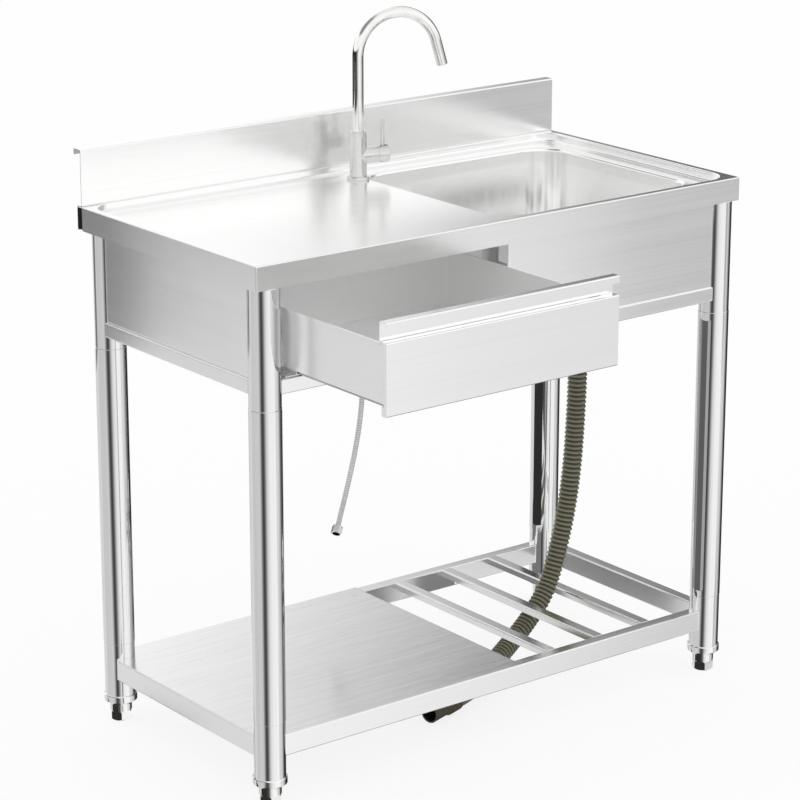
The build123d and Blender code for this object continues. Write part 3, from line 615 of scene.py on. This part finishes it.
def make_materials():
    return {
        "deck": brushed_steel("deck_steel", "x", STEEL, 0.21),
        "sheet_x": brushed_steel("sheet_steel_wide", "x", STEEL, 0.20),
        "sheet_y": brushed_steel("sheet_steel_deep", "y", STEEL, 0.20),
        "bowl": brushed_steel("bowl_steel", "z", BRIGHT_STEEL, 0.15, brush=0.01),
        "front": brushed_steel("front_steel", "x", STEEL, 0.11),
        "box": brushed_steel("box_steel", "y", BRIGHT_STEEL, 0.20, metallic=0.45),
        "shelf": brushed_steel("shelf_steel", "short", SHELF_STEEL, 0.20, brush=0.06),
        "leg": polished_metal("leg_steel", CHROME, 0.05, DRAWN_LINES, DRAWN_DEPTH),
        "tap": polished_metal("tap_chrome", WARM_CHROME, 0.04, BUFFED_LINES, BUFFED_DEPTH),
        "fitting": polished_metal("fitting_chrome", DULL_CHROME, 0.06, BUFFED_LINES, BUFFED_DEPTH),
        "zinc": brushed_steel("zinc_steel", "y", ZINC, 0.38),
        "black": moulded("black_plastic", BLACK, 0.60, pores=1800.0, depth=0.00004, shine=0.15),
        # Black of the washer and the set screw, and also the painted shade that lines the cuff
        "dark": moulded("dark_rubber_and_painted_shade", BLACK, 0.80, pores=1400.0, depth=0.00004, shine=0.1),
        "white": moulded("white_plastic", WHITE_PLASTIC, 0.40, pores=1500.0, depth=0.00003),
        "hose": ribbed("hose_plastic", OLIVE, 0.42),
        "cuff": moulded("cuff_plastic", DARK_OLIVE, 0.40, pores=900.0, depth=0.00004, shine=0.3),
        "rubber": moulded("rubber", RUBBER, 0.75, pores=1400.0, depth=0.00008),
        "braid": braid("wire_braid", WIRE),
        "brass": polished_metal("nickel_brass", NICKEL_BRASS, 0.14, TURNED_LINES, DRAWN_DEPTH),
    }


# Material of each node, by its name or by the start of its name
NODE_MATERIALS = {
    "worktop": "deck",
    "backsplash": "sheet_x",
    "rear_end_plugs": "black",
    "sink_bowl": "bowl",
    "drain_flange": "tap",
    "drain_gasket": "rubber",
    "drain_locknut": "white",
    "drain_tailpiece": "white",
    "drain_hose_nut": "white",
    "drain_hose": "hose",
    "drain_cuff": "cuff",
    "strainer_basket": "tap",
    "leg_upper_sockets": "leg",
    "leg_lower_sockets": "leg",
    "foot_collars": "tap",
    "rail_left": "sheet_y",
    "rail_right": "sheet_y",
    "rail_front": "sheet_x",
    "rail_rear": "sheet_x",
    "panel_left": "sheet_y",
    "panel_right": "sheet_y",
    "panel_rear": "sheet_x",
    "panel_front": "sheet_x",
    "shelf_rail_left": "sheet_y",
    "shelf_rail_right": "sheet_y",
    "shelf_rail_front": "sheet_x",
    "shelf_rail_rear": "sheet_x",
    "shelf_plate": "shelf",
    "drawer_front": "front",
    "drawer_box": "box",
    "drawer_studs": "zinc",
    "tap_flange": "fitting",
    "tap_body": "fitting",
    "tap_cap": "fitting",
    "tap_lever": "fitting",
    "tap_spout": "tap",
    "tap_aerator": "black",
    "tap_shank": "brass",
    "tap_washer": "rubber",
    "tap_nut": "brass",
    "supply_ferrule": "brass",
    "supply_hose": "braid",
    "supply_nut": "tap",
}
GROUP_MATERIALS = {
    "leg_tube_": "leg",
    "foot_": "tap",
    "drawer_slider_": "zinc",
    "drawer_runner_": "box",
    "shelf_slat_": "sheet_y",
}


def dress_nodes(materials):
    for name, node in nodes.items():
        kind = NODE_MATERIALS.get(name)
        if kind is None:
            kind = next(kind for start, kind in GROUP_MATERIALS.items() if name.startswith(start))
        node.data.materials.clear()
        node.data.materials.append(materials[kind])


# Hoses
def make_drain_hose(materials):
    """Ribbed hose: a power below 1 makes its crests broader than its grooves."""
    line = Line(centreline("drain_line", DRAIN_ROUTE))
    ribs = round(line.length / DRAIN_RIB_PITCH)
    steps = ribs * RINGS_PER_RIB
    crest, root = DRAIN_DIAMETER / 2, DRAIN_DIAMETER / 2 - DRAIN_RIB_DEPTH
    outside = []
    for step in range(steps + 1):
        wave = 0.5 - 0.5 * math.cos(2 * math.pi * step / RINGS_PER_RIB)
        outside.append((line.length * step / steps, root + (crest - root) * wave ** DRAIN_RIB_POWER))
    inside = line.rings(ribs, DRAIN_BORE / 2)[::-1]
    piece = tube("drain_hose_ribbed", line, outside + inside, materials["hose"])
    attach(piece, "cabinet")
    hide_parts("drain_hose")
    make_cuff_painted_shade(materials)


def make_supply_hose(materials):
    line = Line(centreline("supply_line", SUPPLY_ROUTE))
    steps = round(line.length / SUPPLY_RING_STEP)
    outside = line.rings(steps, SUPPLY_DIAMETER / 2)
    inside = line.rings(steps, SUPPLY_BORE / 2)[::-1]
    piece = tube("supply_hose_braided", line, outside + inside, materials["braid"])
    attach(piece, "cabinet")
    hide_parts("supply_hose")
    make_nut_washer(materials)


def make_cuff_painted_shade(materials):
    """Dark inner wall of the cuff, closed at its deep end but for a pinhole: a black sheet of painted
    shade in the cuff's hollow.
    """
    line = straight_on(DRAIN_ROUTE, CUFF_LENGTH)
    outer = CUFF_INNER_RADIUS - CUFF_LINER_GAP
    inner = outer - CUFF_LINER_WALL
    mouth = CUFF_LENGTH - CUFF_LINER_WALL
    back = CUFF_LENGTH / 2
    end = back + CUFF_LINER_WALL
    rings = [(back, CUFF_LINER_GAP), (back, outer), (mouth, outer), (mouth, inner), (end, inner),
             (end, CUFF_LINER_GAP)]
    # Black liner: painted shade inside the cuff
    piece = tube("drain_cuff_painted_shade", line, rings, materials["dark"])
    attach(piece, "cabinet")
    return piece


def make_nut_washer(materials):
    """Rubber washer at the bottom of the union nut."""
    line = straight_on(SUPPLY_ROUTE, 2 * NUT_BACK)
    outer, inner = NUT_WASHER_RADIUS, NUT_WASHER_INNER_RADIUS
    top = NUT_BACK + NUT_WASHER_THICKNESS
    edge = top - NUT_WASHER_BEVEL
    rings = [(NUT_BACK, inner), (NUT_BACK, outer), (edge, outer), (top, outer - NUT_WASHER_BEVEL),
             (top, inner + NUT_WASHER_BEVEL), (edge, inner)]
    piece = tube("supply_nut_washer", line, rings, materials["dark"])
    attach(piece, "cabinet")
    return piece


# Tap
def on_tap(reach, height):
    """Point at a height, so far out from the tap's upright axis along the spout's heading."""
    return Vector((TAP_X, TAP_Y, height)) + TAP_ALONG * reach


def make_spout(materials):
    """Gooseneck: a straight riser, a round bend and a straight tail."""
    riser_top = TAP_BODY_TOP + SPOUT_RISE
    points = [on_tap(0, TAP_BODY_TOP - SPOUT_INSERT)]
    for step in range(SPOUT_STEPS + 1):
        angle = math.pi - SPOUT_TURN * step / SPOUT_STEPS
        points.append(on_tap(SPOUT_BEND_RADIUS + SPOUT_BEND_RADIUS * math.cos(angle),
                             riser_top + SPOUT_BEND_RADIUS * math.sin(angle)))
    points.append(points[-1] + (points[-1] - points[-2]).normalized() * SPOUT_TAIL)
    line = Line(points)
    steps = round(line.length / SPOUT_RING_STEP)
    outside = line.rings(steps, SPOUT_RADIUS)[:-1]
    lip = [(line.length - SPOUT_LIP, SPOUT_RADIUS), (line.length, SPOUT_RADIUS - SPOUT_LIP)]
    inside = line.rings(steps, SPOUT_INNER_RADIUS)[::-1]
    piece = tube("tap_spout_tube", line, outside + lip + inside, materials["tap"], SPOUT_SIDES)
    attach(piece, "spout")
    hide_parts("tap_spout")


def make_set_screw(materials):
    """Small screw with a hexagon socket, set into the underside of the cap."""
    centre = on_tap(SCREW_REACH, VALVE_Z)
    out = TAP_RIGHT * math.sin(SCREW_TURN) - Vector((0, 0, math.cos(SCREW_TURN)))
    across = out.cross(TAP_ALONG)
    deep, face = VALVE_RADIUS - SCREW_SINK, VALVE_RADIUS + SCREW_PROUD
    rings = [
        (SCREW_RADIUS, deep, SCREW_SIDES),
        (SCREW_RADIUS, VALVE_RADIUS, SCREW_SIDES),
        (SCREW_RADIUS * SCREW_CROWN_SHARE, face, SCREW_SIDES),
        (KEY_RADIUS, face, KEY_SIDES),
        (KEY_RADIUS, deep, KEY_SIDES),
    ]
    points = []
    for radius, level, sides in rings:
        for step in range(SCREW_SIDES):
            angle = 2 * math.pi * (step * sides // SCREW_SIDES) / sides
            spoke = TAP_ALONG * math.cos(angle) + across * math.sin(angle)
            points.append(centre + out * level + spoke * radius)
    starts = range(0, len(points), SCREW_SIDES)
    faces = []
    for low, high in zip(starts, starts[1:]):
        faces += band(low, high, SCREW_SIDES)
    faces.append(tuple(range(starts[-1], len(points))))
    faces.append(tuple(range(SCREW_SIDES - 1, -1, -1)))
    piece = add_mesh("tap_set_screw", points, faces, materials["dark"], smooth=False)
    weld(piece.data)
    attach(piece, "cap")


# Stage
def make_floor():
    material, tree, surface = bare_material("floor")
    rays = tree.nodes.new("ShaderNodeLightPath").outputs
    seen = maths(tree, "MAXIMUM", rays["Is Camera Ray"], rays["Is Glossy Ray"])
    seen = maths(tree, "MAXIMUM", seen, rays["Is Transmission Ray"])
    backdrop = tree.nodes.new("ShaderNodeAddShader")
    put(backdrop.inputs[0], glow(tree, FLOOR_GLOW))
    put(backdrop.inputs[1], diffuse(tree, FLOOR_SHADOW))
    put(surface, mix_shaders(tree, seen, diffuse(tree, FLOOR_BOUNCE), backdrop.outputs["Shader"]))
    half = FLOOR_SIZE / 2
    corners = [(-half, -half, 0), (half, -half, 0), (half, half, 0), (-half, half, 0)]
    floor = add_sheet("floor", corners, material)
    floor.visible_glossy = False


def make_cards():
    for name, level, low, high in CARDS:
        material, tree, surface = bare_material(name)
        put(surface, glow(tree, level))
        corners = [low, (*high[:2], low[2]), high, (*low[:2], high[2])]
        card = add_sheet(name, corners, material)
        card.visible_camera = False
        card.visible_diffuse = False
        card.visible_shadow = False
        card.visible_transmission = False


def compass(tree, around, ring):
    """Grey by compass direction, where around goes from 0 to 1."""
    return shades(tree, around, WHITE, [((degrees + 180) / 360, level) for degrees, level in ring])


def stack(tree, height, rise, below, above):
    """One colour below a height and another above it, changing over the rise."""
    node = tree.nodes.new("ShaderNodeMix")
    node.data_type = "RGBA"
    put(node.inputs["Factor"], remap(tree, height, 0.0, 1.0, *rise))
    put(node.inputs["A"], below)
    put(node.inputs["B"], above)
    return node.outputs["Result"]


def mirrored_room(tree):
    """Colour of the room that metal mirrors, ring above ring."""
    place = tree.nodes.new("ShaderNodeTexCoord")
    direction = split(tree, place.outputs["Generated"])
    turn = maths(tree, "ARCTAN2", direction["Y"], direction["X"])
    around = remap(tree, turn, 0.0, 1.0, -math.pi, math.pi)
    room = compass(tree, around, LOW_RING)
    for rise, ring in (
        (TAP_RISE, TAP_RING),
        (HIGH_RISE, HIGH_RING),
        (TOP_RISE, TOP_RING),
        (DOME_RISE, DOME_RING),
    ):
        room = stack(tree, direction["Z"], rise, room, compass(tree, around, ring))
    return stack(tree, direction["Z"], OVERHEAD_RISE, room, grey(OVERHEAD))


def make_world():
    """Soft light that the camera sees as white, and the room for metal to mirror."""
    world = bpy.data.worlds.new("studio")
    bpy.context.scene.world = world
    world.use_nodes = True
    world.cycles.sampling_method = "NONE"
    tree = world.node_tree
    tree.nodes.clear()
    rays = tree.nodes.new("ShaderNodeLightPath").outputs
    to_white = maths(tree, "MULTIPLY", rays["Is Camera Ray"], 1 / SOFT_LIGHT - 1)
    soft = background(tree, grey(SOFT_LIGHT), maths(tree, "ADD", to_white, 1.0))
    mirrored = background(tree, mirrored_room(tree), 1.0)
    shiny = maths(tree, "MAXIMUM", rays["Is Glossy Ray"], rays["Is Transmission Ray"])
    output = tree.nodes.new("ShaderNodeOutputWorld")
    put(output.inputs["Surface"], mix_shaders(tree, shiny, soft, mirrored))


make_camera()
materials = make_materials()
dress_nodes(materials)
make_drain_hose(materials)
make_supply_hose(materials)
make_spout(materials)
make_set_screw(materials)
make_floor()
make_cards()
make_world()
bpy.context.scene.cycles.glossy_bounces = MIRROR_BOUNCES
bpy.context.scene.view_settings.view_transform = "Standard"
